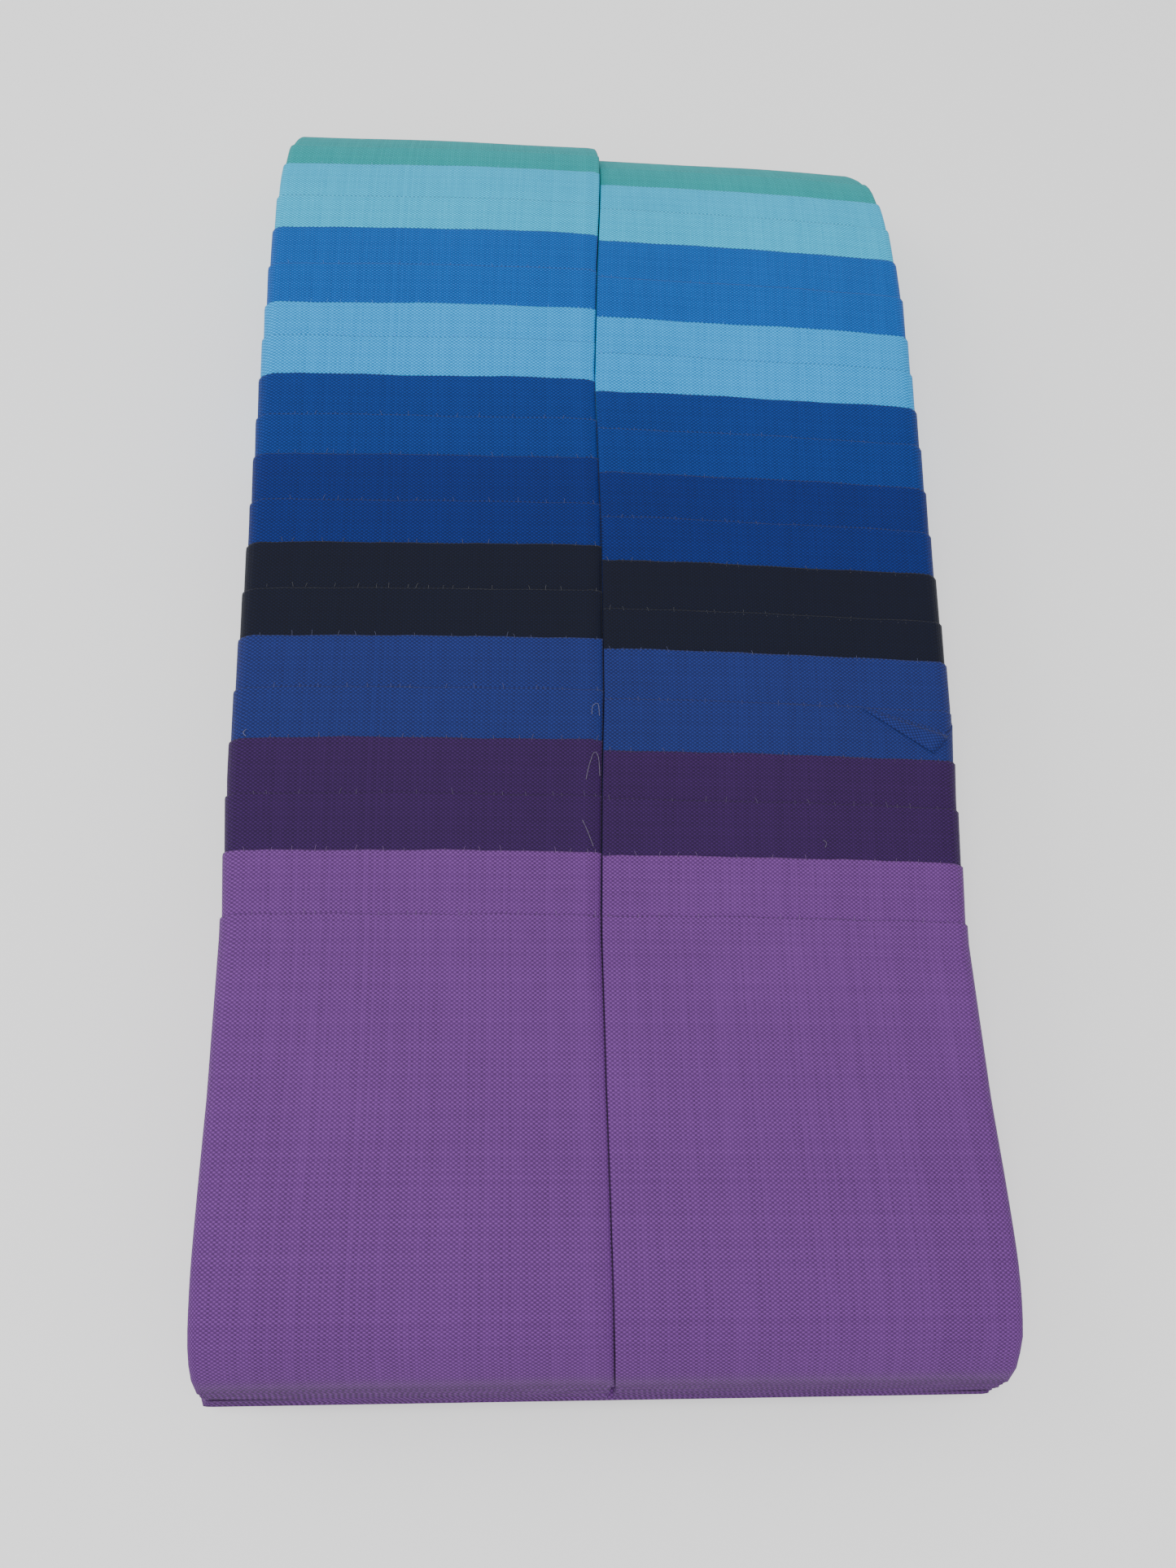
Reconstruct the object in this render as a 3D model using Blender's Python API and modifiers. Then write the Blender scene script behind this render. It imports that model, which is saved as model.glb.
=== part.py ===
"""Flat pack of pre-cut quilting strips, folded together in one shingled stack.

Every solid is one pair of equal strips that lie exactly on each other. The pairs
are laid with a small step from one to the next, the nearer pair on top, so each
shows a narrow step of its colour and only the last shows its whole width. The
stack is then folded to the middle from both ends, so each pair is a flattened
loop that is open at a slit in the middle of the top face.

Axes: +X to the right, +Y to the far end, where the first colour lies, +Z up. The
pack rests on the plane z = 0.
"""

import math

import bmesh
import bpy
from mathutils import Vector

COLLECTION = "jelly_roll_fabric_strips"

# Driving dimensions, in metres
STRIP_WIDTH = 0.0635
STEP = 0.00817
PACK_WIDTH = 0.1070
PACK_HEIGHT = 0.027
WALL = 0.0010
LAYER_PITCH = 0.00154
SHOULDER_RADIUS = 0.006
INNER_RADIUS = 0.00125
CROWN = 0.0018

# The largest corner radius, as a share of a loop's height
RADIUS_SHARE = 0.45

# The slit where both ends of the pack meet on the top face, and how much nearer
# the right half's steps lie than the left half's
SLIT_X = 0.0007
SLIT_GAP = 0.0009
SHEAR = 0.0022

# The short ramp by which a pair drops below the far edge of the next one
RAMP_RUN = 0.0012
RAMP_CLEARANCE = 0.0005

# How much sooner than the next pair a covered pair goes down, in pitches
LEAD = 0.12

# Mesh divisions of the loop, each between two of its corners
PANEL_DIVISIONS = 3
SHOULDER_DIVISIONS = 2
BASE_DIVISIONS = 4

STEPS_PER_COLOUR = 2

# From the far end to the near end: name, linear base colour
COLOURS = (
    ("teal", (0.007, 0.242, 0.262)),
    ("aqua", (0.021, 0.402, 0.679)),
    ("blue", (0.001, 0.150, 0.413)),
    ("sky", (0.012, 0.328, 0.658)),
    ("royal", (0.001, 0.048, 0.231)),
    ("navy", (0.002, 0.026, 0.156)),
    ("black", (0.004, 0.006, 0.016)),
    ("indigo", (0.012, 0.030, 0.162)),
    ("plum", (0.030, 0.012, 0.076)),
    ("violet", (0.122, 0.048, 0.216)),
)

# Lengthwise section of the pack. Columns: where the stretch starts, in steps from
# the far edge, then the tilt of the top and of the base over that stretch, in
# degrees and upwards to the near end, then how much each side is drawn in there.
STRETCHES = (
    (0.0, 52.0, 4.0, 0.0014),
    (1.0, 30.0, -1.0, 0.0007),
    (2.0, 15.0, -7.0, 0.0003),
    (3.0, 10.0, -7.0, 0.0001),
    (4.0, 4.5, -10.5, 0.0),
    (6.0, 4.5, -7.5, 0.0),
    (8.0, 0.0, 0.0, 0.0),
    (18.0, -0.5, 3.0, 0.0),
    (20.0, -2.5, 12.0, 0.0),
    (22.0, -4.0, 16.0, 0.0),
    (24.0, -10.0, 11.0, 0.0003),
    (25.4, -38.0, -12.0, 0.0010),
)
SIDES_IN_AT_NEAR_EDGE = 0.0030

PAIR_COUNT = STEPS_PER_COLOUR * len(COLOURS)
PACK_RUN = (PAIR_COUNT - 1) * STEP + STRIP_WIDTH


class Outline:
    """The pack's lengthwise section, as a top line and a base line of one run."""

    def __init__(self):
        self.runs = [row[0] * STEP for row in STRETCHES] + [PACK_RUN]
        top_tilts = [math.radians(row[1]) for row in STRETCHES]
        base_tilts = [math.radians(row[2]) for row in STRETCHES]
        self.sides_in = [row[3] for row in STRETCHES] + [SIDES_IN_AT_NEAR_EDGE]
        self.top = self.line(top_tilts, PACK_HEIGHT)
        self.base = self.line(base_tilts, 0.0)
        self.top_inward = self.inward(top_tilts, -1.0)
        self.base_inward = self.inward(base_tilts, 1.0)

    def line(self, tilts, level):
        """Points (y, z) at each run, with the level stretch at the given height."""
        points = [Vector((0.0, 0.0))]
        for start, end, tilt in zip(self.runs, self.runs[1:], tilts):
            along = Vector((-math.cos(tilt), math.sin(tilt)))
            points.append(points[-1] + along * (end - start))
        level_index = tilts.index(0.0)
        level_point = Vector((PACK_RUN / 2 - self.runs[level_index], level))
        return [point + level_point - points[level_index] for point in points]

    @staticmethod
    def inward(tilts, side):
        """Vectors that move a point one unit into the pack, mitred at each bend."""
        vectors = []
        for before, after in zip([tilts[0]] + tilts, tilts + [tilts[-1]]):
            mean = (before + after) / 2
            spread = math.cos((after - before) / 2)
            normal = Vector((math.sin(mean), math.cos(mean))) * side
            vectors.append(normal / spread)
        return vectors

    def at(self, run, depth):
        """The top point, the base point and the drawn-in width at a run and depth."""
        index = max(i for i, start in enumerate(self.runs[:-1]) if start <= run + 1e-9)
        span = self.runs[index + 1] - self.runs[index]
        share = (run - self.runs[index]) / span
        found = []
        for line, inward in ((self.top, self.top_inward), (self.base, self.base_inward)):
            first = line[index] + inward[index] * depth
            second = line[index + 1] + inward[index + 1] * depth
            found.append(first.lerp(second, share))
        sides = self.sides_in[index] * (1 - share) + self.sides_in[index + 1] * share
        return found[0], found[1], sides


def depth_of(number, across):
    """How deep a pair lies at a distance from its far edge.

    It lies on the outside for one step, drops below the next pair by a ramp, and
    goes on down as more pairs lie over it, until no more of them are left.
    """
    ramp_end = STEP - RAMP_CLEARANCE
    ramp_start = ramp_end - RAMP_RUN
    if number == PAIR_COUNT - 1 or across <= ramp_start:
        return 0.0
    if across < ramp_end:
        return LAYER_PITCH * (across - ramp_start) / RAMP_RUN
    pairs_above = min(across / STEP + LEAD, PAIR_COUNT - 1 - number)
    return LAYER_PITCH * max(1.0, pairs_above)


def lines_of(number, outline):
    """Distances from the far edge at which a pair gets a line of vertices."""
    start = number * STEP
    marks = {0.0, STRIP_WIDTH}
    if number < PAIR_COUNT - 1:
        marks.update((STEP - RAMP_CLEARANCE - RAMP_RUN, STEP - RAMP_CLEARANCE, STEP))
        marks.add((PAIR_COUNT - 1 - number - LEAD) * STEP)
    for run in outline.runs:
        if start < run:
            marks.add(run - start)
    kept = []
    for mark in sorted(marks):
        inside = mark <= STRIP_WIDTH + 1e-9
        if inside and (not kept or mark - kept[-1] > 1e-6):
            kept.append(mark)
    return kept


def loop_points(height, half_width):
    """A flattened loop (x, height) from the slit's left edge round to its right."""
    radius = max(INNER_RADIUS, SHOULDER_RADIUS - (PACK_WIDTH / 2 - half_width))
    radius = min(radius, height * RADIUS_SHARE)
    flat_end = half_width - radius

    def shoulder(side, level, first, last):
        centre_x = side * flat_end
        points = []
        for i in range(SHOULDER_DIVISIONS + 1):
            angle = math.radians(first + (last - first) * i / SHOULDER_DIVISIONS)
            x = centre_x + side * radius * math.cos(angle)
            points.append((x, level + radius * math.sin(angle)))
        return points

    def straight(start_x, end_x, level, divisions):
        """The points between two ends, without the ends themselves."""
        span = (end_x - start_x) / divisions
        return [(start_x + span * i, level) for i in range(1, divisions)]

    left_edge = SLIT_X - SLIT_GAP / 2
    right_edge = SLIT_X + SLIT_GAP / 2
    points = [(left_edge, height)]
    points += straight(left_edge, -flat_end, height, PANEL_DIVISIONS)
    points += shoulder(-1, height - radius, 90, 0)
    points += shoulder(-1, radius, 0, -90)
    points += straight(-flat_end, flat_end, 0.0, BASE_DIVISIONS)
    points += shoulder(1, radius, -90, 0)
    points += shoulder(1, height - radius, 0, 90)
    points += straight(flat_end, right_edge, height, PANEL_DIVISIONS)
    points.append((right_edge, height))
    return points


def place(outline, number, across):
    """The outer loop of a pair, in space, at a distance from its far edge."""
    depth = depth_of(number, across)
    top, base, sides_in = outline.at(number * STEP + across, depth)
    half_width = PACK_WIDTH / 2 - sides_in - depth
    rise = top - base
    height = rise.length
    points = loop_points(height, half_width)
    placed = []
    for index, (x, level) in enumerate(points):
        spot = base + rise * (level / height)
        share = index / (len(points) - 1)
        slip = SHEAR * (0.5 - share)
        crown = 1 - CROWN / PACK_HEIGHT * (2 * x / PACK_WIDTH) ** 2
        placed.append(Vector((x, spot.x + slip, spot.y * crown)))
    return placed


def folded_lines():
    """Every pair's lines of points, with the whole pack centred along Y."""
    outline = Outline()
    pairs = []
    for number in range(PAIR_COUNT):
        marks = lines_of(number, outline)
        pairs.append([place(outline, number, across) for across in marks])
    reach = [spot.y for lines in pairs for line in lines for spot in line]
    middle = Vector((0.0, (min(reach) + max(reach)) / 2, 0.0))
    return [[[spot - middle for spot in line] for line in lines] for lines in pairs]


def cotton(name, colour):
    """Plain dyed cotton."""
    material = bpy.data.materials.new("cotton_" + name)
    material.use_nodes = True
    shader = material.node_tree.nodes["Principled BSDF"]
    shader.inputs["Base Color"].default_value = (*colour, 1.0)
    shader.inputs["Roughness"].default_value = 0.9
    shader.inputs["Metallic"].default_value = 0.0
    material.diffuse_color = (*colour, 1.0)
    return material


def strip_pair(name, lines, material, collection):
    """One folded pair of strips: an open sheet moved into its loop, then thickened."""
    columns = len(lines[0])
    mesh = bpy.data.meshes.new(name)
    work = bmesh.new()
    bmesh.ops.create_grid(work, x_segments=columns - 1, y_segments=len(lines) - 1, size=1.0)
    work.verts.ensure_lookup_table()
    for row, line in enumerate(lines):
        for column, spot in enumerate(line):
            work.verts[row * columns + column].co = spot
    bmesh.ops.recalc_face_normals(work, faces=work.faces)
    middle = sum((vert.co for vert in work.verts), Vector()) / len(work.verts)
    facing = sum((face.calc_center_median() - middle).dot(face.normal) for face in work.faces)
    if facing < 0:
        bmesh.ops.reverse_faces(work, faces=work.faces)
    work.to_mesh(mesh)
    work.free()
    mesh.materials.append(material)

    pair = bpy.data.objects.new(name, mesh)
    collection.objects.link(pair)
    thickness = pair.modifiers.new("Cloth thickness", "SOLIDIFY")
    thickness.thickness = WALL
    thickness.offset = -1.0
    thickness.use_even_offset = True
    return pair


def main():
    for old in list(bpy.data.objects):
        bpy.data.objects.remove(old)
    collection = bpy.data.collections.new(COLLECTION)
    bpy.context.scene.collection.children.link(collection)
    all_lines = folded_lines()
    for order, (colour_name, colour) in enumerate(COLOURS):
        material = cotton(colour_name, colour)
        for step in range(STEPS_PER_COLOUR):
            name = f"strips_{colour_name}_{step + 1}"
            lines = all_lines[order * STEPS_PER_COLOUR + step]
            strip_pair(name, lines, material, collection)


main()
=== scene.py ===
"""Flat folded pack of narrow quilting cotton strips, dressed as real woven cloth.

Every strip is one thin sheet. Two strips lie on each other in each step, the next
two are laid on them a step nearer, and the whole stack is then folded back and
forth from both ends, so that the ends meet at a slit along the top face.

Axes: +X to the right, +Y to the far end, where the first colour lies, +Z up. A run
is a distance from the far end along the pack's surface.
"""

import math
import random

import bmesh
import bpy
import numpy as np
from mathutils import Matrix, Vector


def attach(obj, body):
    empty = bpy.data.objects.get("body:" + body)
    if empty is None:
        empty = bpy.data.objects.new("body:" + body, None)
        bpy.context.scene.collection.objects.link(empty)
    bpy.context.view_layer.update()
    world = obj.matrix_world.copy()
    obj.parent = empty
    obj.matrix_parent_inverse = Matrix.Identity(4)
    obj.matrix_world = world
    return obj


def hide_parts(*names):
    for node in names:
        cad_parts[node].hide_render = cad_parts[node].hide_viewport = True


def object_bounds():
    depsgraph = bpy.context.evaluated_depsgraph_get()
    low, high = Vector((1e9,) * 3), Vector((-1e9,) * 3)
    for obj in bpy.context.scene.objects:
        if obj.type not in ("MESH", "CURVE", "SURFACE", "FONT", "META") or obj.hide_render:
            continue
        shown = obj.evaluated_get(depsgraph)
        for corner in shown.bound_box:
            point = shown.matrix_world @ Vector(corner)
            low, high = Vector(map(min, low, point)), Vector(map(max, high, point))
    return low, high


bl_info = {
    "name": "Folded Strip Pack",
    "version": (1, 0, 0),
    "blender": (4, 5, 0),
    "location": "View3D > Sidebar > Strip Pack",
    "description": "Folds a pack of narrow cotton strips in colour steps",
    "category": "Add Mesh",
}

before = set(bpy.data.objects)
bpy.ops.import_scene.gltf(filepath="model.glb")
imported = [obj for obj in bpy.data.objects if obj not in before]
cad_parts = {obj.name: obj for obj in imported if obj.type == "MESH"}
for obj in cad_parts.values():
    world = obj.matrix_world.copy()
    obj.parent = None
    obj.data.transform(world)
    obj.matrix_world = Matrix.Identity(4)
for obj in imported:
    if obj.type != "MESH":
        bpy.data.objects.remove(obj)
CAD_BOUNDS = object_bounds()
BODY = "root"
MM = 0.001

# The pack's colours from the far end to the near end, with the linear base colour
COLOURS = (
    ("teal", (0.001, 0.270, 0.290)),
    ("aqua", (0.001, 0.385, 0.820)),
    ("blue", (0.001, 0.078, 0.330)),
    ("sky", (0.001, 0.270, 0.780)),
    ("royal", (0.001, 0.025, 0.160)),
    ("navy", (0.001, 0.012, 0.112)),
    ("black", (0.0015, 0.003, 0.013)),
    ("indigo", (0.009, 0.017, 0.114)),
    ("plum", (0.025, 0.006, 0.056)),
    ("violet", (0.106, 0.031, 0.168)),
)
STEPS_PER_COLOUR = 2
PLIES = ("upper", "lower")
PAIR_COUNT = len(COLOURS) * STEPS_PER_COLOUR

# How far each pair's far edge shows from its even place, in millimetres towards the
# near end. Columns: on the left half of the top face, on the right half.
EDGE_SHIFTS = (
    (-1.0, 1.0),
    (-1.2, 1.2),
    (-1.5, 1.3),
    (0.4, 0.9),
    (0.4, 1.4),
    (0.7, 1.9),
    (1.1, 2.7),
    (-0.1, 2.1),
    (-0.5, 1.7),
    (-0.9, 0.7),
    (-1.8, 0.9),
    (-1.6, 0.8),
    (-2.2, 0.4),
    (-2.5, 0.6),
    (-2.5, -0.8),
    (-2.2, -0.8),
    (-2.3, -0.6),
    (-1.8, -1.3),
    (-1.4, -0.9),
    (-0.3, -0.2),
)

# Lengthwise section. Columns: run in steps, tilt of the top and of the base there,
# in degrees and upwards to the near end.
TILTS = (
    (0.0, 46.0, 4.0),
    (0.6, 36.0, 3.0),
    (1.3, 26.0, 0.5),
    (2.0, 20.0, -4.0),
    (3.0, 12.5, -7.0),
    (4.0, 8.0, -9.5),
    (5.5, 4.5, -10.0),
    (7.3, 2.5, -5.0),
    (9.0, 0.0, 0.0),
    (17.0, 0.0, 0.0),
    (19.0, -0.8, 2.5),
    (21.0, -2.0, 9.0),
    (23.0, -4.0, 15.0),
    (24.6, -9.0, 12.0),
    (25.6, -26.0, -3.0),
    (26.4, -46.0, -14.0),
    (26.78, -54.0, -18.0),
)
LEVEL_STEP = 13.0

# Widths. Columns: run in steps, left and right half width, the slit's place and how
# much farther the left half lies than the right half, in millimetres.
WIDTHS = (
    (0.0, 51.4, 50.6, 2.6, 3.2),
    (0.6, 52.2, 52.3, 2.8, 3.2),
    (1.2, 52.8, 53.5, 2.9, 3.2),
    (2.5, 53.5, 54.2, 2.4, 3.0),
    (5.0, 53.8, 54.7, 1.2, 2.6),
    (7.8, 53.7, 54.4, 0.3, 2.3),
    (11.3, 53.5, 54.4, 0.8, 2.2),
    (14.7, 53.7, 54.5, 0.7, 1.8),
    (16.4, 53.8, 53.8, 0.2, 1.3),
    (19.3, 53.0, 53.0, -0.3, 0.9),
    (22.0, 53.0, 53.9, 0.0, 0.7),
    (24.5, 53.5, 55.4, 0.5, 0.6),
    (25.8, 53.6, 55.9, 0.9, 0.6),
    (26.4, 53.4, 55.5, 1.2, 0.6),
    (26.78, 52.6, 54.5, 1.4, 0.6),
)

# Half a strip is folded into this many passes between the slit and a side
PASSES = 10

# Room left in each pass, in pairs of strips
SPARE_PAIRS = 1.15

# The pair whose far edge has a corner turned down at the right side. The corner's
# points, in millimetres from the middle and along the run: where the fold starts,
# where it ends at the side, and where the cut edge ends.
TURNED_PAIR = 15
TURNED_FROM = (39.7, 122.0)
TURNED_TO = (52.8, 125.8)
TURNED_TIP = (50.2, 128.8)
TURNED_GONE = 57.0

# How high the turned corner lies over the cloth below it, and how far it bulges
TURNED_LIFT = 0.10 * MM
TURNED_BULGE = 0.16 * MM
TURNED_ROWS = 5
TURNED_COLUMNS = 13

# Points along the pack's top and base lines
LINE_POINTS = 1500

# Half the pack's width, as a share of a strip's width
HALF_PACK_SHARE = 0.84

# Gentle swells of the upper layers. Columns: height in millimetres, waves to the
# right and along the pack in radians per metre, phase.
SWELLS = (
    (0.10, 118, 37, 0.4),
    (0.08, 61, -83, 2.1),
    (0.05, 205, 146, 4.0),
)

# How a cut edge strays. Columns: distance in millimetres, waves in radians per metre,
# share of the strip's own phase.
STRAYS = (
    (0.06, 190, 1.0),
    (0.05, 520, 2.3),
    (0.03, 1310, 3.7),
)
STRAY_SPACING = 2.1 * MM
STRAY_LEFT_IN_SECOND_ROW = 0.6

# Where the two strips of a pair lie in it, as shares of its thickness
PLY_DEPTHS = (0.25, 0.75)

# How much less far the folds below the top one reach, in millimetres, and its waves
# in radians per metre and per fold
JUT = 0.35
JUT_WAVE = 0.3
JUT_WAVE_ALONG = 47
JUT_WAVE_DOWN = 2.3

# The strips' ends dip at the slit, the right ones less
DIP_REACH = 1.7 * MM
RIGHT_DIP_SHARE = 0.12

# Where the pack is pinched, so that the left ends dip more and from farther off
PINCH_RUN = 158.0 * MM
PINCH_LENGTH = 13.0 * MM
PINCH_MORE_REACH = 0.8
PINCH_MORE_DIP = 0.9

# Loose threads on the top face: colour, radius in millimetres, then points, each in
# millimetres from the middle, along the run and over the cloth
LOOSE_THREADS = (
    (
        "plum",
        0.050,
        (
            (-2.2, 134.6, 0.1),
            (-1.7, 132.4, 0.4),
            (-1.0, 130.6, 0.5),
            (-0.4, 131.4, 0.5),
            (-0.2, 134.1, 0.1),
        ),
    ),
    ("plum", 0.050, ((-2.8, 140.9, 0.1), (-2.1, 142.7, 0.4), (-1.3, 144.8, 0.1))),
    (
        "indigo",
        0.050,
        ((-1.2, 124.4, 0.1), (-1.1, 123.2, 0.3), (-0.3, 122.8, 0.3), (-0.1, 124.6, 0.1)),
    ),
    ("indigo", 0.060, ((-51.0, 127.2, 0.1), (-51.4, 127.8, 0.3), (-51.0, 128.3, 0.1))),
    ("plum", 0.050, ((32.0, 143.2, 0.1), (32.4, 143.7, 0.3), (32.2, 144.3, 0.1))),
)
THREAD_SIDES = 4
POINTS_PER_BEND = 4

# Frayed ends along the cut edges: where each starts, and then its points. Columns of
# the points: share of its length, share of its sway, height in millimetres.
FRAY_SEED = 11
FRAY_SPACING = 3.4 * MM
FRAY_SPREAD = (0.3, 1.7)
FRAY_RADIUS = 0.024 * MM
FRAY_LENGTHS = (0.25, 0.8)
FRAY_SWAY = 0.5
FRAY_SIDE_MARGIN = 3.0 * MM
FRAY_SLIT_MARGIN = 1.0 * MM
FRAY_ROOT = (0.25 * MM, 0.02 * MM)
FRAY_POINTS = (
    (0.3, 0.3, 0.20),
    (0.6, 0.5, 0.12),
    (1.0, 1.0, 0.05),
)

# Weave. Tones run from 0, the darkest, to 1, the lightest, and mix the threads' own tones and
# mottle with painted shade and painted light of the weave's relief.
WANDER = 0.9
MEAN_HEIGHT = 0.62
# Painted shadow on the lower crosswise threads and painted light on the lengthwise threads on top
CROSSING_PAINTED_SHADE = 0.42
# Painted shade in the weave's low gaps and painted light on its raised threads
HEIGHT_PAINTED_SHADE = 0.30
# The threads' own tones, with a small painted light and shade between the two thread systems
THREAD_TONE_AND_PAINTED_LIGHT = 0.42
MOTTLE_TONE = 0.14
# Darkest and lightest share of the base colour, spread wide for the painted shade and light of the
# weave's relief as well as the threads' own tones
DARKEST = 0.34
LIGHTEST = 1.66

# Lights. Columns: name, place, size in metres, share of the main light's strength.
LIGHTS = (
    ("main_light", (-0.12, -0.18, 0.98), 0.45, 1.0),
    ("fill_light", (-0.8, 0.3, 0.6), 0.6, 0.25),
)
FLOOR_REACH = 3.0


class StripPackSizes(bpy.types.PropertyGroup):
    """Sizes of the strips and of the pack that they are folded into."""

    strip_width: bpy.props.FloatProperty(
        name="Strip width",
        description="Width of one cut strip",
        default=63.5 * MM,
        unit="LENGTH",
    )
    step: bpy.props.FloatProperty(
        name="Step",
        description="How far each pair of strips lies nearer than the one below it",
        default=8.17 * MM,
        unit="LENGTH",
    )
    pack_height: bpy.props.FloatProperty(
        name="Pack height",
        description="Thickness of the folded pack along its middle",
        default=CAD_BOUNDS[1].z - CAD_BOUNDS[0].z,
        unit="LENGTH",
    )
    crown: bpy.props.FloatProperty(
        name="Crown",
        description="How much lower the top face lies at its sides",
        default=1.8 * MM,
        unit="LENGTH",
    )
    slit_gap: bpy.props.FloatProperty(
        name="Slit gap",
        description="Gap between the strips' ends along the top face",
        default=0.10 * MM,
        unit="LENGTH",
        precision=5,
    )
    slit_dip: bpy.props.FloatProperty(
        name="Slit dip",
        description="How far the left half's ends dip below the right half's at the slit",
        default=0.45 * MM,
        unit="LENGTH",
        precision=5,
    )
    cloth_thickness: bpy.props.FloatProperty(
        name="Cloth thickness",
        description="Thickness of one strip's cloth",
        default=0.13 * MM,
        unit="LENGTH",
    )
    loosest_pitch: bpy.props.FloatProperty(
        name="Loosest pitch",
        description="Largest distance from one pair of strips to the next",
        default=0.34 * MM,
        unit="LENGTH",
    )


class StripPackCloth(bpy.types.PropertyGroup):
    """Weave and finish of the cotton."""

    crosswise_pitch: bpy.props.FloatProperty(
        name="Crosswise thread pitch",
        description="Spacing of the threads that run across the strip",
        default=0.35 * MM,
        unit="LENGTH",
        precision=5,
    )
    lengthwise_pitch: bpy.props.FloatProperty(
        name="Lengthwise thread pitch",
        description="Spacing of the threads that run along the strip",
        default=0.28 * MM,
        unit="LENGTH",
        precision=5,
    )
    relief: bpy.props.FloatProperty(
        name="Weave relief",
        description="Height of a thread over the gaps beside it",
        default=0.07 * MM,
        unit="LENGTH",
        precision=5,
    )
    roughness: bpy.props.FloatProperty(
        name="Roughness",
        description="Roughness of the dyed cotton",
        default=0.82,
        min=0.0,
        max=1.0,
        subtype="FACTOR",
    )
    sheen: bpy.props.FloatProperty(
        name="Sheen",
        description="Soft shine of the cotton's loose fibres",
        default=0.04,
        min=0.0,
        max=1.0,
        subtype="FACTOR",
    )


def colour_property(name, colour):
    """One colour of the pack as a property."""
    return bpy.props.FloatVectorProperty(
        name=name.capitalize(),
        description=f"Colour of the {name} strips",
        default=colour,
        size=3,
        min=0.0,
        max=1.0,
        subtype="COLOR",
    )


class StripPackColours(bpy.types.PropertyGroup):
    """Colours of the strips from the far end to the near end."""

    __annotations__ = {name: colour_property(name, colour) for name, colour in COLOURS}


class Pack:
    """The folded stack of strips: its lengthwise section, its widths and its folds."""

    def __init__(self, sizes):
        self.sizes = sizes
        self.run = (PAIR_COUNT - 1) * sizes.step + sizes.strip_width
        self.runs = np.linspace(0.0, self.run, LINE_POINTS)
        steps = self.runs / sizes.step
        knots = np.array([row[0] for row in TILTS])
        top_tilts = np.interp(steps, knots, [row[1] for row in TILTS])
        self.lean = np.cos(np.radians(top_tilts))
        self.top = self.line(top_tilts, sizes.pack_height)
        self.base = self.line(np.interp(steps, knots, [row[2] for row in TILTS]), 0.0)
        knots = np.array([row[0] for row in WIDTHS])
        self.left_half, self.right_half, self.slit, self.slip = (
            np.interp(steps, knots, [row[column] for row in WIDTHS]) * MM
            for column in (1, 2, 3, 4)
        )
        even = np.arange(PAIR_COUNT) * sizes.step
        shifts = np.array(EDGE_SHIFTS) * MM
        self.left_starts = even + shifts[:, 0] + self.at(even, self.slip) / 2
        self.right_starts = even + shifts[:, 1] - self.at(even, self.slip) / 2
        self.push = 0.0
        self.push = self.middle_offset()

    def line(self, tilts, level):
        """Points (y, z) along the top or the base, level at the given height."""
        tilts = np.radians(tilts)
        mean = (tilts[1:] + tilts[:-1]) / 2
        piece = self.runs[1] - self.runs[0]
        y = -np.concatenate([[0.0], np.cumsum(np.cos(mean) * piece)])
        z = np.concatenate([[0.0], np.cumsum(np.sin(mean) * piece)])
        level_run = LEVEL_STEP * self.sizes.step
        y += self.run / 2 - level_run - np.interp(level_run, self.runs, y)
        z += level - np.interp(level_run, self.runs, z)
        return y, z

    def middle_offset(self):
        """How far the pack is pushed along Y to lie centred on the frame."""
        reach = np.concatenate([self.top[0], self.base[0]])
        frame_middle = (CAD_BOUNDS[0].y + CAD_BOUNDS[1].y) / 2
        return frame_middle - (reach.min() + reach.max()) / 2

    def at(self, run, values):
        """Any of the pack's lines read at some runs."""
        return np.interp(run, self.runs, values)

    def height(self, run):
        """The distance from the base line to the top line at some runs."""
        rise_y = self.at(run, self.top[0]) - self.at(run, self.base[0])
        rise_z = self.at(run, self.top[1]) - self.at(run, self.base[1])
        return np.hypot(rise_y, rise_z)

    def pitch(self, run, starts):
        """The distance from one pair of strips to the next at some runs."""
        counts = np.arange(PAIR_COUNT)
        laid = np.interp(run, starts, counts)
        ended = np.interp(run - self.sizes.strip_width, starts, counts)
        even = self.height(run) / PASSES / (laid - ended + SPARE_PAIRS)
        return laid, np.minimum(even, self.sizes.loosest_pitch / self.at(run, self.lean))

    def top_face(self, x, seen_run, lift):
        """A point over the top face, where it shows at some width and run."""
        side = 1 if x > self.at(seen_run, self.slit) else -1
        starts = self.right_starts if side > 0 else self.left_starts
        run = np.array(seen_run - side * self.at(seen_run, self.slip) / 2)
        height = self.height(run)
        layer = height / PASSES
        laid, pitch = self.pitch(run, starts)
        lift = lift - (laid - np.floor(laid)) * pitch
        half = self.at(run, self.left_half if side < 0 else self.right_half)
        angle = max(side * x - (half - layer), 0.0) / layer
        if angle > 0:
            x = side * (half - layer + (layer + lift) * math.sin(angle))
        level = height - layer + (layer + lift) * math.cos(angle)
        return Vector(self.place(run, x, level, height, (side + 1) / 2))

    def place(self, run, x, level, height, along):
        """Points in space at some runs, widths and levels over the base line.

        along is the share of the strip's length, from its left end to its right end.
        """
        share = level / height
        base_y, top_y = self.at(run, self.base[0]), self.at(run, self.top[0])
        base_z, top_z = self.at(run, self.base[1]), self.at(run, self.top[1])
        y = base_y + (top_y - base_y) * share + self.push
        y = y + self.at(run, self.slip) * (0.5 - along)
        z = base_z + (top_z - base_z) * share
        half = self.sizes.strip_width * HALF_PACK_SHARE
        z = z * (1 - self.sizes.crown / self.sizes.pack_height * (x / half) ** 2)
        return np.stack([x, y, z + soft_rise(x, y) * share], axis=-1)


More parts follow.
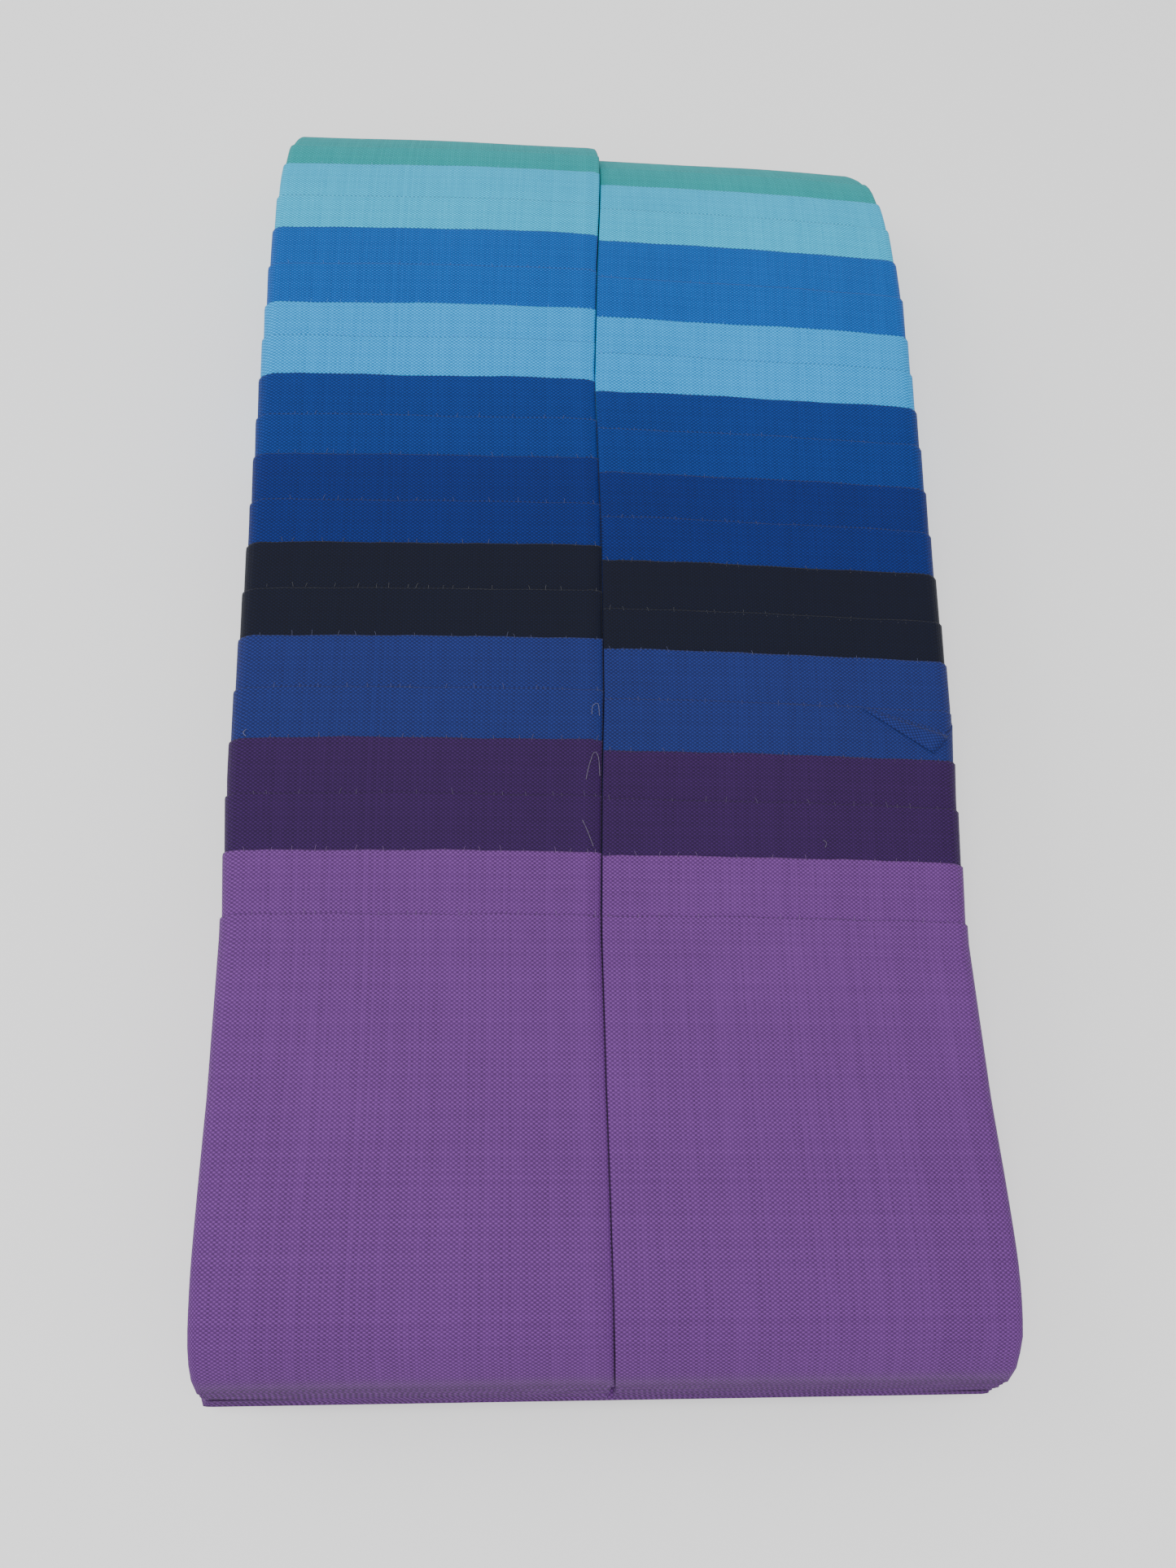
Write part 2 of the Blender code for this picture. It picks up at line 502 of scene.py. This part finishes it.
def soft_rise(x, y):
    """Gentle swells of the pack's upper layers, in metres."""
    swells = [
        height * np.sin(x * across + y * along + phase) for height, across, along, phase in SWELLS
    ]
    return sum(swells) * MM


def turned_down(reach):
    """How much of the turned pair is folded over, at a distance from the middle."""
    rise = (TURNED_TO[1] - TURNED_FROM[1]) * MM
    places = (TURNED_FROM[0] * MM, TURNED_TO[0] * MM, TURNED_GONE * MM)
    return float(np.interp(reach, places, (0.0, rise, 0.0)))


def uneven(x, number, ply):
    """How far a cut edge strays from a straight line, in metres."""
    phase = number * 1.7 + ply * 3.1
    return sum(distance * np.sin(x * wave + phase * share) for distance, wave, share in STRAYS) * MM


class Fold:
    """One place along a strip's length, in its half, its pass or turn and its share."""

    def __init__(self, side, kind, number, share):
        self.side = side
        self.kind = kind
        self.number = number
        self.share = share


# Where a strip gets lines of points along its top pass, from the slit to the side,
# and along each pass below
TOP_SHARES = (0.0, 0.006, 0.013, 0.022, 0.034) + tuple(0.05 + 0.95 * i / 24 for i in range(24))
PASS_SHARES = (0.0, 0.25, 0.5, 0.75)
SIDE_TURN_DIVISIONS = 6
SLIT_TURN_DIVISIONS = 4


def half_folds(side):
    """The places along half a strip, from its end at the slit to the middle of the base."""
    folds = []
    for number in range(1, PASSES + 1):
        for share in TOP_SHARES if number == 1 else PASS_SHARES:
            folds.append(Fold(side, "pass", number, share))
        if number == PASSES:
            break
        kind = "side turn" if number % 2 else "slit turn"
        divisions = SIDE_TURN_DIVISIONS if number % 2 else SLIT_TURN_DIVISIONS
        if number == 1:
            divisions += 2
        for i in range(divisions):
            folds.append(Fold(side, kind, number, i / divisions))
    return folds


def strip_folds():
    """The places along a whole strip, from its left end round to its right end."""
    middle = Fold(-1, "pass", PASSES, 1.0)
    return half_folds(-1) + [middle] + half_folds(1)[::-1]


def rows_across(number, strip_width):
    """Distances from a strip's far edge at which it gets a row of points."""
    if number == PAIR_COUNT - 1:
        shares = [0.0, 0.006, 0.02] + [0.045 + 0.955 * i / 25 for i in range(26)]
    else:
        shares = [0.0, 0.006, 0.02, 0.05, 0.085, 0.115, 0.135, 0.16, 0.21]
        shares += [0.29, 0.4, 0.52, 0.64, 0.76, 0.88, 1.0]
    return np.array(shares) * strip_width


def fold_strip(pack, number, ply):
    """A strip's rows of points in space, and its lengths along and across."""
    sizes = pack.sizes
    folds = strip_folds()
    across = rows_across(number, sizes.strip_width)
    lines = []
    widths = []
    for index, fold in enumerate(folds):
        along = index / (len(folds) - 1)
        starts = pack.left_starts * (1 - along) + pack.right_starts * along
        ragged = uneven(index * STRAY_SPACING, number, ply)
        kept = across
        if number == TURNED_PAIR and ply == 0 and fold.side > 0 and fold.number == 1:
            gone = turned_down(top_reach(pack, starts[number], fold))
            kept = gone + across * (1 - gone / sizes.strip_width)
        widths.append(kept)
        run = starts[number] + kept
        run[0] += ragged
        run[1] += ragged * STRAY_LEFT_IN_SECOND_ROW
        run = np.clip(run, 0.0, pack.run)
        lines.append(fold_line(pack, fold, along, starts, run, number, ply))
    points = np.array(lines).transpose(1, 0, 2)
    gaps = np.linalg.norm(np.diff(points, axis=1), axis=2).mean(axis=0)
    along = np.concatenate([[0.0], np.cumsum(gaps)])
    return points, along, np.array(widths).T


def top_reach(pack, run, fold):
    """How far a place on the top pass or its turn lies from the middle of the pack."""
    layer = pack.height(run) / PASSES
    flat = pack.at(run, pack.right_half) - layer
    if fold.kind == "pass":
        return flat * fold.share
    return flat + math.pi * layer * fold.share


def fold_line(pack, fold, along, starts, run, number, ply):
    """One line of points across a strip, at one place along its folded length."""
    sizes = pack.sizes
    height = pack.height(run)
    layer = height / PASSES
    laid, pitch = pack.pitch(run, starts)
    depth = (np.maximum(laid - number, 0.0) + PLY_DEPTHS[ply]) * pitch

    side = fold.side
    slit = pack.at(run, pack.slit)
    slit_edge = slit + side * sizes.slit_gap / 2
    half = pack.at(run, pack.left_half if side < 0 else pack.right_half)
    jut = 0.0
    if fold.number > 1:
        wave = np.sin(run * JUT_WAVE_ALONG + fold.number * JUT_WAVE_DOWN + side)
        jut = (JUT + JUT_WAVE * wave) * MM
    side_centre = side * (half - layer - jut)
    slit_centre = slit_edge + side * layer
    folded = height - fold.number * layer
    if fold.kind == "side turn":
        angle = math.pi * fold.share
        reach = layer - depth
        x = side_centre + side * reach * math.sin(angle)
        level = folded + reach * math.cos(angle)
    elif fold.kind == "slit turn":
        angle = math.pi * fold.share
        x = slit_centre - side * depth * math.sin(angle)
        level = folded + depth * math.cos(angle)
    elif fold.number % 2:
        first = slit_edge if fold.number == 1 else slit_centre
        x = first + (side_centre - first) * fold.share
        level = folded + layer - depth
        if fold.number == 1:
            level = level - slit_dip(sizes, side, np.abs(x - slit_edge), run)
    else:
        last = slit if fold.number == PASSES else slit_centre
        x = side_centre + (last - side_centre) * fold.share
        level = folded + depth
    return pack.place(run, x, level, height, along)


def slit_dip(sizes, side, distance, run):
    """How far a strip's end dips near the slit, at a distance from it."""
    pinch = np.exp(-(((run - PINCH_RUN) / PINCH_LENGTH) ** 2))
    reach = DIP_REACH * (1 + PINCH_MORE_REACH * pinch)
    share = 1 + PINCH_MORE_DIP * pinch if side < 0 else RIGHT_DIP_SHARE
    return sizes.slit_dip * share * np.maximum(1 - distance / reach, 0.0) ** 2


def strip_mesh(points, along, across):
    """An open sheet of cloth, made flat as a grid and then moved into its folds."""
    rows, columns = points.shape[:2]
    work = bmesh.new()
    bmesh.ops.create_grid(work, x_segments=columns - 1, y_segments=rows - 1, size=1.0)
    work.verts.ensure_lookup_table()
    uv_layer = work.loops.layers.uv.new("cloth")
    for face in work.faces:
        for loop in face.loops:
            row, column = divmod(loop.vert.index, columns)
            loop[uv_layer].uv = (along[column], across[row, column])
        face.smooth = True
    for vert in work.verts:
        row, column = divmod(vert.index, columns)
        vert.co = points[row, column]
    return work


def turned_corner(work, pack, length):
    """The turned-down corner, a grid that narrows to the start of its fold."""
    rows, columns = TURNED_ROWS, TURNED_COLUMNS
    lap = bmesh.new()
    uv_layer = lap.loops.layers.uv.new("cloth")
    bmesh.ops.create_grid(lap, x_segments=columns - 1, y_segments=rows - 1, size=1.0)
    lap.verts.ensure_lookup_table()
    start = Vector(TURNED_FROM) * MM
    fold = Vector(TURNED_TO) * MM - start
    tip = Vector(TURNED_TIP) * MM - start
    cut = Vector((tip.length, 0.0))
    for face in lap.faces:
        for loop in face.loops:
            row, column = divmod(loop.vert.index, columns)
            flat = (fold.lerp(cut, row / (rows - 1))) * (column / (columns - 1))
            loop[uv_layer].uv = (length - start.x - flat.x, flat.y)
        face.smooth = True
    for vert in lap.verts:
        row, column = divmod(vert.index, columns)
        share, along = row / (rows - 1), column / (columns - 1)
        place = start + fold.lerp(tip, share) * along
        lift = TURNED_LIFT + TURNED_BULGE * along * math.sin(math.pi * min(share * 1.2, 1.0))
        vert.co = pack.top_face(place.x, place.y, lift)
    bmesh.ops.remove_doubles(lap, verts=lap.verts, dist=0.01 * MM)
    joined = bpy.data.meshes.new("turned_corner")
    lap.to_mesh(joined)
    lap.free()
    work.from_mesh(joined)
    bpy.data.meshes.remove(joined)


class Value:
    """A shader socket that can stand in a Python expression, which adds Math nodes."""

    def __init__(self, tree, socket):
        self.tree = tree
        self.socket = socket

    def math(self, operation, *others):
        """The result of a Math node on this value and others."""
        node = self.tree.nodes.new("ShaderNodeMath")
        node.operation = operation
        for slot, value in zip(node.inputs, (self,) + others):
            if isinstance(value, Value):
                self.tree.links.new(value.socket, slot)
            else:
                slot.default_value = value
        return Value(self.tree, node.outputs[0])

    def __add__(self, other):
        return self.math("ADD", other)

    def __mul__(self, other):
        return self.math("MULTIPLY", other)

    def __sub__(self, other):
        return self.math("SUBTRACT", other)

    def __rsub__(self, other):
        return (self * -1.0) + other

    def __truediv__(self, other):
        return self.math("DIVIDE", other)


class Finish:
    """A material's nodes, added one by one."""

    def __init__(self, name):
        self.material = bpy.data.materials.new(name)
        self.material.use_nodes = True
        self.tree = self.material.node_tree
        self.shader = self.tree.nodes["Principled BSDF"]

    def node(self, kind, settings=None, **values):
        """Adds a node. Values are keyed by socket name, with _ for a space."""
        node = self.tree.nodes.new(kind)
        for key, value in (settings or {}).items():
            setattr(node, key, value)
        for key, value in values.items():
            self.set(node.inputs[key.replace("_", " ")], value)
        return node

    def set(self, socket, value):
        """Links a socket to a value, or sets it where the value is constant."""
        if isinstance(value, Value):
            self.tree.links.new(value.socket, socket)
        else:
            socket.default_value = value

    def out(self, node, name):
        """An output of a node, by its name."""
        return Value(self.tree, node.outputs[name])

    def noise(self, x, y, scale, detail=2.0):
        """Noise from 0 to 1 over two coordinates."""
        place = self.node("ShaderNodeCombineXYZ", X=x, Y=y)
        texture = self.node(
            "ShaderNodeTexNoise", Vector=self.out(place, "Vector"), Scale=scale, Detail=detail
        )
        return self.out(texture, "Fac")

    def chance(self, number, seed):
        """A number from 0 to 1 that differs from thread to thread."""
        texture = self.node("ShaderNodeTexWhiteNoise", {"noise_dimensions": "1D"}, W=number + seed)
        return self.out(texture, "Value")

    def blend(self, factor, first, second):
        """A colour between two colours."""
        mix = self.tree.nodes.new("ShaderNodeMix")
        mix.data_type = "RGBA"
        self.set(mix.inputs["Factor"], factor)
        self.set(mix.inputs["A"], first)
        self.set(mix.inputs["B"], second)
        return Value(self.tree, mix.outputs["Result"])


def add_object(name, data):
    """Adds an object with some data to the scene."""
    added = bpy.data.objects.new(name, data)
    bpy.context.scene.collection.objects.link(added)
    return added


def add_mesh(work, name, material):
    """Turns a mesh in the making into an object with one material."""
    mesh = bpy.data.meshes.new(name)
    work.to_mesh(mesh)
    work.free()
    mesh.materials.append(material)
    return add_object(name, mesh)


def scaled(colour, amount):
    """A colour made darker or lighter, with its alpha."""
    return tuple(min(channel * amount, 1.0) for channel in colour) + (1.0,)


def cotton(name, colour, cloth):
    """Plain-woven dyed cotton, its threads drawn at their real pitch."""
    finish = Finish(name)
    uv = finish.node("ShaderNodeUVMap", {"uv_map": "cloth"})
    split = finish.node("ShaderNodeSeparateXYZ", Vector=finish.out(uv, "UV"))
    along, across = finish.out(split, "X"), finish.out(split, "Y")

    # Threads wander a little from their even places
    wander_along = finish.noise(along * 90.0, across * 240.0, 1.0) - 0.5
    wander_across = finish.noise(along * 240.0 + 7.0, across * 90.0, 1.0) - 0.5
    column = along / cloth.crosswise_pitch + wander_along * WANDER
    row = across / cloth.lengthwise_pitch + wander_across * WANDER
    column_wave = (column * math.pi).math("SINE")
    row_wave = (row * math.pi).math("SINE")
    crossing = column_wave * row_wave
    lengthwise_height = row_wave.math("ABSOLUTE") * (crossing * 0.5 + 0.5)
    crosswise_height = column_wave.math("ABSOLUTE") * (0.5 - crossing * 0.5)
    height = lengthwise_height.math("MAXIMUM", crosswise_height)
    lengthwise_over = lengthwise_height.math("GREATER_THAN", crosswise_height)

    # Each thread has its own tone, and slubs where it is thicker. Lengthwise threads are also
    # painted a little lighter and crosswise ones a little darker, as painted light for how each
    # thread system catches the light.
    row_tone = finish.chance(row.math("FLOOR"), 0.5) - 0.5
    column_tone = finish.chance(column.math("FLOOR"), 31.5) - 0.5
    row_slub = finish.noise(along * 260.0, row.math("FLOOR") * 7.3, 1.0) - 0.5
    column_slub = finish.noise(column.math("FLOOR") * 5.1, across * 260.0, 1.0) - 0.5
    # Painted light: the added 0.06 makes lengthwise threads lighter and the taken 0.06 makes
    # crosswise threads darker
    lengthwise_tone_and_painted_light = row_tone * 0.30 + row_slub * 0.5 + 0.06
    crosswise_tone_and_painted_shade = column_tone * 0.30 + column_slub * 0.5 - 0.06
    thread_tone_and_painted_light = lengthwise_tone_and_painted_light * lengthwise_over + crosswise_tone_and_painted_shade * (1.0 - lengthwise_over)
    mottle = finish.noise(along * 60.0, across * 60.0, 1.0, 3.0) - 0.5

    # Painted shade and light: crosswise threads lie lower, so they get painted dark dots of shadow
    # between the others. Lengthwise threads on top are painted lighter, and the weave's low gaps
    # are painted darker than its raised threads.
    tone = crossing * CROSSING_PAINTED_SHADE + (height - MEAN_HEIGHT) * HEIGHT_PAINTED_SHADE
    tone = tone + thread_tone_and_painted_light * THREAD_TONE_AND_PAINTED_LIGHT + mottle * MOTTLE_TONE + 0.5
    tone = tone.math("MINIMUM", 1.0).math("MAXIMUM", 0.0)
    shade = finish.blend(tone, scaled(colour, DARKEST), scaled(colour, LIGHTEST))
    finish.set(finish.shader.inputs["Base Color"], shade)
    finish.set(finish.shader.inputs["Roughness"], cloth.roughness - height * 0.08)
    finish.shader.inputs["Sheen Weight"].default_value = cloth.sheen
    finish.shader.inputs["Sheen Roughness"].default_value = 0.45
    finish.shader.inputs["Specular IOR Level"].default_value = 0.2

    bump = finish.node("ShaderNodeBump", Height=height, Distance=cloth.relief, Strength=0.7)
    finish.set(finish.shader.inputs["Normal"], finish.out(bump, "Normal"))
    finish.material.diffuse_color = scaled(colour, 1.0)
    return finish.material


class STRIPPACK_OT_strips(bpy.types.Operator):
    """Fold all strips into the pack, two to each step of colour"""

    bl_idname = "strip_pack.strips"
    bl_label = "Fold Strips"

    def execute(self, context):
        settings = context.scene
        sizes = settings.strip_pack_sizes
        pack = Pack(sizes)
        for order, (colour_name, _) in enumerate(COLOURS):
            colour = getattr(settings.strip_pack_colours, colour_name)
            slot = "cotton_" + colour_name
            material = cotton(slot, colour, settings.strip_pack_cloth)
            for step in range(STEPS_PER_COLOUR):
                node = f"strips_{colour_name}_{step + 1}"
                number = order * STEPS_PER_COLOUR + step
                for ply, ply_name in enumerate(PLIES):
                    make_strip(pack, f"{node}_{ply_name}", node, number, ply, material)
        return {"FINISHED"}


def make_strip(pack, name, node, number, ply, material):
    """One strip of cloth, in its folds and with its thickness."""
    points, along, across = fold_strip(pack, number, ply)
    work = strip_mesh(points, along, across)
    if number == TURNED_PAIR and ply == 0:
        turned_corner(work, pack, float(along[-1]))
    strip = add_mesh(work, name, material)
    thickness = strip.modifiers.new("Cloth thickness", "SOLIDIFY")
    thickness.thickness = pack.sizes.cloth_thickness
    thickness.offset = 0.0
    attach(strip, BODY)
    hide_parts(node)


def add_thread(work, points, radius):
    """A thin closed tube along some points, made from a grid that is rolled up."""
    before = set(work.verts)
    count = len(points)
    made = bmesh.ops.create_grid(work, x_segments=THREAD_SIDES, y_segments=count - 1, size=1.0)
    verts = sorted(made["verts"], key=lambda vert: (round(vert.co.y, 6), vert.co.x))
    for index, vert in enumerate(verts):
        row, column = divmod(index, THREAD_SIDES + 1)
        ahead = points[min(row + 1, count - 1)] - points[max(row - 1, 0)]
        across = ahead.cross(Vector((0.0, 0.0, 1.0))).normalized()
        up = across.cross(ahead).normalized()
        angle = math.tau * column / THREAD_SIDES
        vert.co = points[row] + (across * math.cos(angle) + up * math.sin(angle)) * radius
    bmesh.ops.remove_doubles(work, verts=verts, dist=radius * 0.05)
    edges = [edge for edge in work.edges if edge.is_boundary and edge.verts[0] not in before]
    caps = bmesh.ops.holes_fill(work, edges=edges, sides=THREAD_SIDES)["faces"]
    faces = {face for vert in work.verts if vert not in before for face in vert.link_faces}
    bmesh.ops.recalc_face_normals(work, faces=list(faces | set(caps)))


def smooth_path(points, steps):
    """Points on a smooth curve through some points."""
    path = []
    for i in range(len(points) - 1):
        before, after = points[max(i - 1, 0)], points[min(i + 2, len(points) - 1)]
        first, last = points[i], points[i + 1]
        for k in range(steps):
            t = k / steps
            leave, arrive = (last - before) / 2, (after - first) / 2
            path.append(
                first * (2 * t**3 - 3 * t**2 + 1)
                + leave * (t**3 - 2 * t**2 + t)
                + last * (3 * t**2 - 2 * t**3)
                + arrive * (t**3 - t**2)
            )
    return path + [points[-1]]


def add_fray(work, pack, number, chance):
    """Short thread ends that stick out from a pair's far edge on the top face."""
    for side, starts, half in (
        (-1, pack.left_starts, pack.left_half),
        (1, pack.right_starts, pack.right_half),
    ):
        seen = starts[number] + side * pack.at(starts[number], pack.slip) / 2
        limit = pack.at(seen, half) - FRAY_SIDE_MARGIN
        x = pack.at(seen, pack.slit) + side * FRAY_SLIT_MARGIN
        while abs(x) < limit:
            length = chance.uniform(*FRAY_LENGTHS) * MM
            sway = chance.uniform(-FRAY_SWAY, FRAY_SWAY) * length
            turned = number == TURNED_PAIR and x > (TURNED_FROM[0] - 1.0) * MM
            if not turned:
                points = [pack.top_face(x, seen + FRAY_ROOT[0], FRAY_ROOT[1])]
                for ahead, aside, up in FRAY_POINTS:
                    points.append(
                        pack.top_face(x + sway * aside, seen - length * ahead, up * MM)
                    )
                add_thread(work, points, FRAY_RADIUS)
            x += side * FRAY_SPACING * chance.uniform(*FRAY_SPREAD)


def paler(colour, share):
    """A colour taken part of the way to white."""
    return tuple(channel + (1 - channel) * share for channel in colour[:3]) + (1.0,)


def thread_finish(name, colour):
    """A single dyed thread, with slightly lighter and darker stretches."""
    finish = Finish(name)
    place = finish.node("ShaderNodeTexCoord")
    texture = finish.node(
        "ShaderNodeTexNoise", Vector=finish.out(place, "Object"), Scale=2600.0, Detail=2.0
    )
    shade = finish.blend(finish.out(texture, "Fac"), paler(colour, 0.01), paler(colour, 0.15))
    finish.set(finish.shader.inputs["Base Color"], shade)
    finish.shader.inputs["Roughness"].default_value = 0.8
    finish.material.diffuse_color = scaled(colour, 1.0)
    return finish.material


class STRIPPACK_OT_threads(bpy.types.Operator):
    """Add the frayed thread ends along the cut edges and the loose threads"""

    bl_idname = "strip_pack.threads"
    bl_label = "Add Loose Threads"

    def execute(self, context):
        settings = context.scene
        pack = Pack(settings.strip_pack_sizes)
        chance = random.Random(FRAY_SEED)
        for order, (colour_name, _) in enumerate(COLOURS):
            colour = getattr(settings.strip_pack_colours, colour_name)
            work = bmesh.new()
            nodes = []
            for step in range(STEPS_PER_COLOUR):
                nodes.append(f"strips_{colour_name}_{step + 1}")
                number = order * STEPS_PER_COLOUR + step
                if number > 0:
                    add_fray(work, pack, number, chance)
            for thread_colour, radius, places in LOOSE_THREADS:
                if thread_colour == colour_name:
                    points = [pack.top_face(x * MM, run * MM, up * MM) for x, run, up in places]
                    add_thread(work, smooth_path(points, POINTS_PER_BEND), radius * MM)
            name = f"thread_ends_{colour_name}"
            threads = add_mesh(work, name, thread_finish(name, colour))
            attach(threads, BODY)
            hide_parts(*nodes)
        return {"FINISHED"}


class StripPackStage(bpy.types.PropertyGroup):
    """Camera, lights and floor."""

    camera_place: bpy.props.FloatVectorProperty(
        name="Camera place",
        description="Where the camera stands",
        default=(-20.65 * MM, -107.8 * MM, 226.27 * MM),
        subtype="TRANSLATION",
        unit="LENGTH",
    )
    camera_turn: bpy.props.FloatVectorProperty(
        name="Camera turn",
        description="How the camera is turned",
        default=(math.radians(22.199), math.radians(-5.002), math.radians(-0.882)),
        subtype="EULER",
        unit="ROTATION",
    )
    lens: bpy.props.FloatProperty(
        name="Lens",
        description="Focal length of the camera, in millimetres",
        default=34.56,
        min=1.0,
        unit="CAMERA",
    )
    light: bpy.props.FloatProperty(
        name="Light",
        description="Strength of the main light",
        default=9.3,
        unit="POWER",
    )
    surround: bpy.props.FloatProperty(
        name="Surround",
        description="Brightness of the pale room around the pack",
        default=0.7,
        min=0.0,
        subtype="UNSIGNED",
    )
    floor_colour: bpy.props.FloatVectorProperty(
        name="Floor colour",
        description="Colour of the floor",
        default=(0.94, 0.94, 0.94),
        size=3,
        min=0.0,
        max=1.0,
        subtype="COLOR",
    )


class STRIPPACK_OT_stage(bpy.types.Operator):
    """Set up the floor, the soft lights and the camera"""

    bl_idname = "strip_pack.stage"
    bl_label = "Set Up Stage"

    def execute(self, context):
        stage = context.scene.strip_pack_stage
        make_floor(stage)
        make_lights(stage)
        make_world(context, stage)
        make_camera(context, stage)
        return {"FINISHED"}


def make_floor(stage):
    """A plain pale floor under the pack."""
    work = bmesh.new()
    bmesh.ops.create_grid(work, x_segments=1, y_segments=1, size=FLOOR_REACH)
    finish = Finish("floor")
    finish.shader.inputs["Base Color"].default_value = (*stage.floor_colour, 1.0)
    finish.shader.inputs["Roughness"].default_value = 0.9
    add_mesh(work, "floor", finish.material)


def make_lights(stage):
    """A soft light above the pack and a weaker one from the left, both square."""
    for name, place, size, share in LIGHTS:
        data = bpy.data.lights.new(name, "AREA")
        data.size = size
        data.energy = stage.light * share
        light = add_object(name, data)
        light.location = place
        light.rotation_euler = (-Vector(place)).to_track_quat("-Z", "Y").to_euler()


def make_world(context, stage):
    """A pale room around the pack."""
    world = bpy.data.worlds.new("pale_room")
    world.use_nodes = True
    background = world.node_tree.nodes["Background"]
    background.inputs["Color"].default_value = (1.0, 1.0, 1.0, 1.0)
    background.inputs["Strength"].default_value = stage.surround
    context.scene.world = world


def make_camera(context, stage):
    """The camera at the viewing angle of the picture."""
    data = bpy.data.cameras.new("camera")
    data.sensor_width = 36.0
    data.lens = stage.lens
    data.clip_start = 0.01
    camera = add_object("camera", data)
    camera.location = stage.camera_place
    camera.rotation_euler = stage.camera_turn
    context.scene.camera = camera


class STRIPPACK_PT_panel(bpy.types.Panel):
    """Lists the pack's settings and steps in the sidebar."""

    bl_idname = "STRIPPACK_PT_panel"
    bl_label = "Strip Pack"
    bl_space_type = "VIEW_3D"
    bl_region_type = "UI"
    bl_category = "Strip Pack"

    def draw(self, context):
        layout = self.layout
        for group in PROPERTY_GROUPS:
            box = layout.box()
            settings = getattr(context.scene, group)
            for name in settings.bl_rna.properties.keys():
                if name not in ("rna_type", "name"):
                    box.prop(settings, name)
        for operator in OPERATORS:
            layout.operator(operator.bl_idname)


PROPERTY_GROUPS = {
    "strip_pack_sizes": StripPackSizes,
    "strip_pack_cloth": StripPackCloth,
    "strip_pack_colours": StripPackColours,
    "strip_pack_stage": StripPackStage,
}
OPERATORS = (STRIPPACK_OT_strips, STRIPPACK_OT_threads, STRIPPACK_OT_stage)
CLASSES = tuple(PROPERTY_GROUPS.values()) + OPERATORS + (STRIPPACK_PT_panel,)


def register():
    for cls in CLASSES:
        bpy.utils.register_class(cls)
    for name, group in PROPERTY_GROUPS.items():
        setattr(bpy.types.Scene, name, bpy.props.PointerProperty(type=group))


def unregister():
    for name in PROPERTY_GROUPS:
        delattr(bpy.types.Scene, name)
    for cls in reversed(CLASSES):
        bpy.utils.unregister_class(cls)


def main():
    register()
    bpy.ops.strip_pack.strips()
    bpy.ops.strip_pack.threads()
    bpy.ops.strip_pack.stage()


if __name__ == "__main__":
    main()
